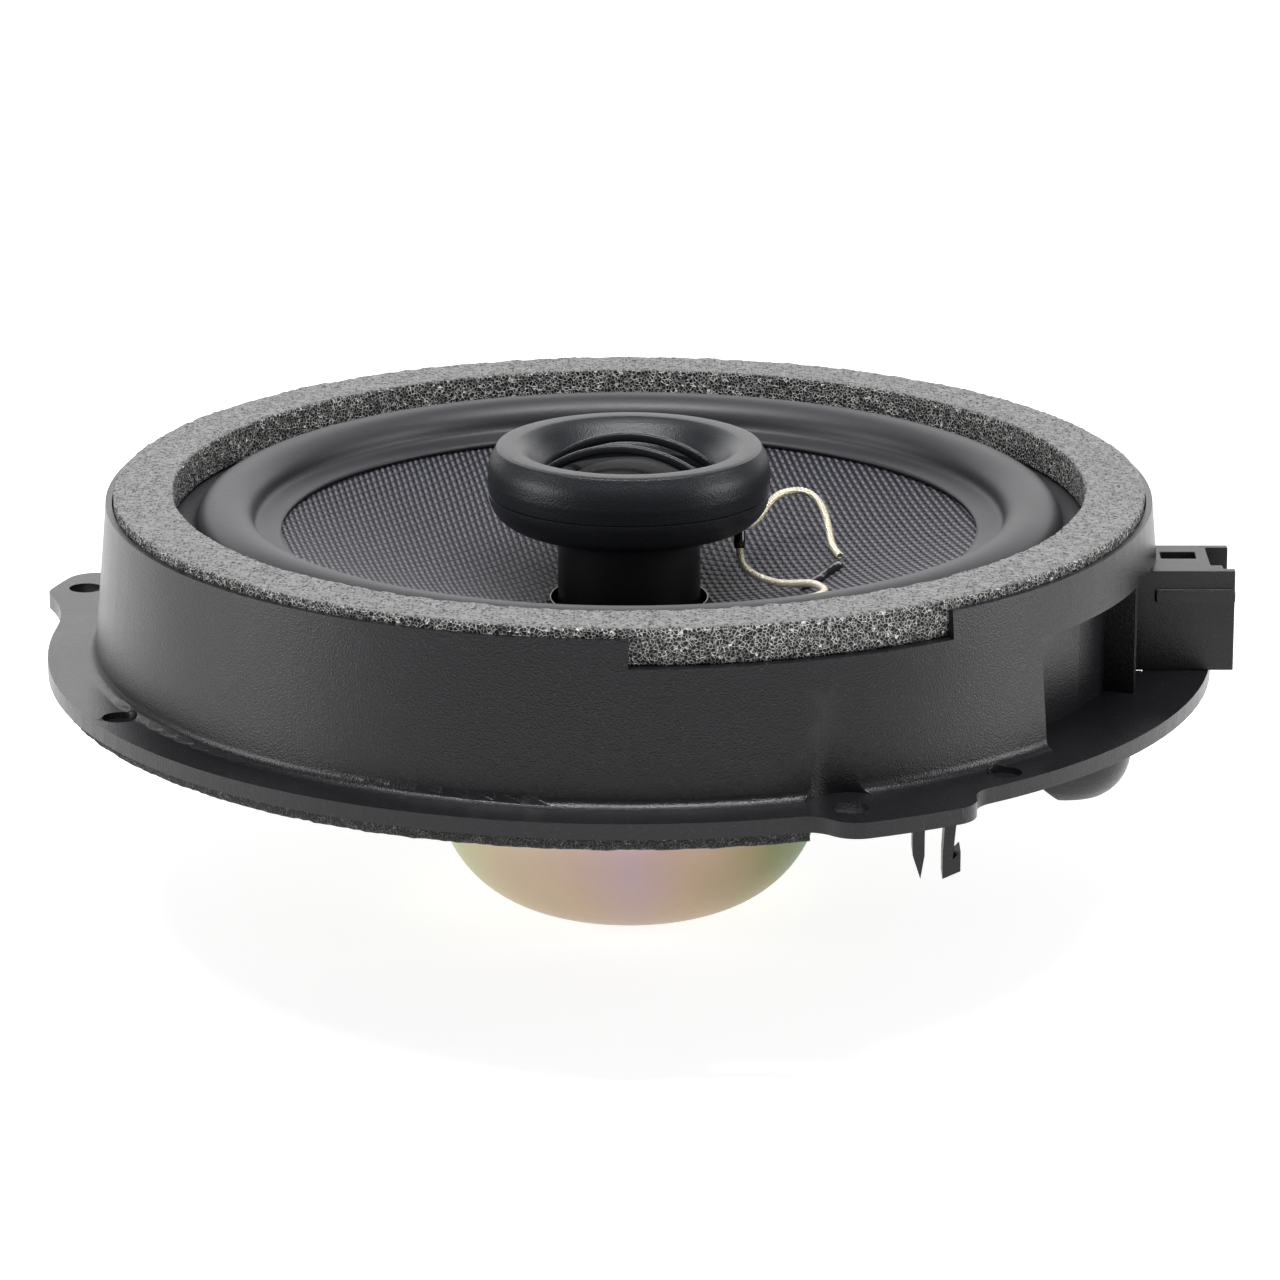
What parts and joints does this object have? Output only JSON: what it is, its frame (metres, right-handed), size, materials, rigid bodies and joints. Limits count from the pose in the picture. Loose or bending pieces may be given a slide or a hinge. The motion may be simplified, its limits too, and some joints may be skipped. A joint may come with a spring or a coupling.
{
  "type": "coaxial car speaker",
  "caption": "Two-way car loudspeaker: moulded basket with a slotted collar and eared flange, woven cone on a rubber roll, post-mounted tweeter, foam gaskets, side connector and cupped motor.",
  "frame": {"origin": "centre of the motor cup's flat back, which the speaker stands on", "axes": "+Z is the way the speaker fires; +X points out of the connector's mouth"},
  "size_m": [0.1923, 0.187, 0.077],
  "materials": {
    "basket_abs": "fine-grained black moulded plastic, satin",
    "connector_abs": "black moulded plastic, satin",
    "gasket_foam": "charcoal open-cell foam, skinned top",
    "seal_foam": "black foam strip",
    "surround_rubber": "satin black rubber",
    "cone_cloth": "dark grey woven fibre, coated",
    "spider_cloth": "resin-treated corrugated cotton",
    "tweeter_plastic": "matte fine-grained black plastic",
    "dome_silk": "coated black silk",
    "zinc_steel": "yellow-iridescent zinc plate",
    "plain_steel": "bright plated steel",
    "ferrite": "dark grey sintered ferrite",
    "neodymium": "nickel-plated magnet",
    "kapton": "amber film",
    "copper": "enamelled copper winding",
    "terminal_tin": "tinned brass",
    "tinsel": "braided gold and silver tinsel",
    "sleeve": "glossy black heat-shrink",
    "glue": "glossy black hardened adhesive",
    "capacitor_film": "dark sleeve"
  },
  "bodies": {
    "frame": {"basket": "basket_abs", "connector_shell": "connector_abs", "terminal_blade_plus": "terminal_tin", "terminal_blade_minus": "terminal_tin", "front_gasket": "gasket_foam", "rear_gasket": "seal_foam", "motor_cup": "zinc_steel", "bucking_magnet": "ferrite", "ferrite_magnet": "ferrite", "pole_yoke": "plain_steel", "top_plate": "plain_steel", "motor_screws": "plain_steel", "post_bolt": "plain_steel", "spider": "spider_cloth", "surround": "surround_rubber", "tweeter_post": "tweeter_plastic", "tweeter_base": "tweeter_plastic", "tweeter_housing": "tweeter_plastic", "tweeter_yoke": "plain_steel", "tweeter_magnet": "neodymium", "tweeter_top_plate": "plain_steel", "tweeter_surround": "dome_silk", "crossover_capacitor": "capacitor_film", "front_lead_upper": "tinsel", "front_lead_lower": "tinsel", "lead_sleeves": "sleeve"},
    "cone_assembly": {"cone": "cone_cloth", "voice_coil_former": "kapton", "voice_coil": "copper", "lead_glue": "glue"},
    "tweeter_diaphragm": {"tweeter_dome": "dome_silk", "tweeter_coil": "copper"},
    "snap_left": {"snap_prong_left": "basket_abs"},
    "snap_right": {"snap_prong_right": "basket_abs"}
  },
  "joints": [
    {"name": "cone_travel", "type": "slide", "parent": "frame", "child": "cone_assembly", "axis": [0, 0, 1], "range_m": [-0.004, 0.004], "stiffness_N_per_m": 2900, "deforming": ["surround", "spider", "front_lead_lower", "front_lead_upper"]},
    {"name": "tweeter_travel", "type": "slide", "parent": "frame", "child": "tweeter_diaphragm", "axis": [0, 0, 1], "range_m": [-0.0003, 0.0003], "stiffness_N_per_m": 2000, "deforming": ["tweeter_surround"]},
    {"name": "snap_left_flex", "type": "hinge", "parent": "frame", "child": "snap_left", "pos_m": [0.0435, -0.075, 0.0405], "axis": [0, -1, 0], "range_deg": [-1.5, 5], "stiffness_Nm_per_rad": 0.5},
    {"name": "snap_right_flex", "type": "hinge", "parent": "frame", "child": "snap_right", "pos_m": [0.04845, -0.075, 0.0405], "axis": [0, 1, 0], "range_deg": [-1.5, 5], "stiffness_Nm_per_rad": 0.5}
  ]
}
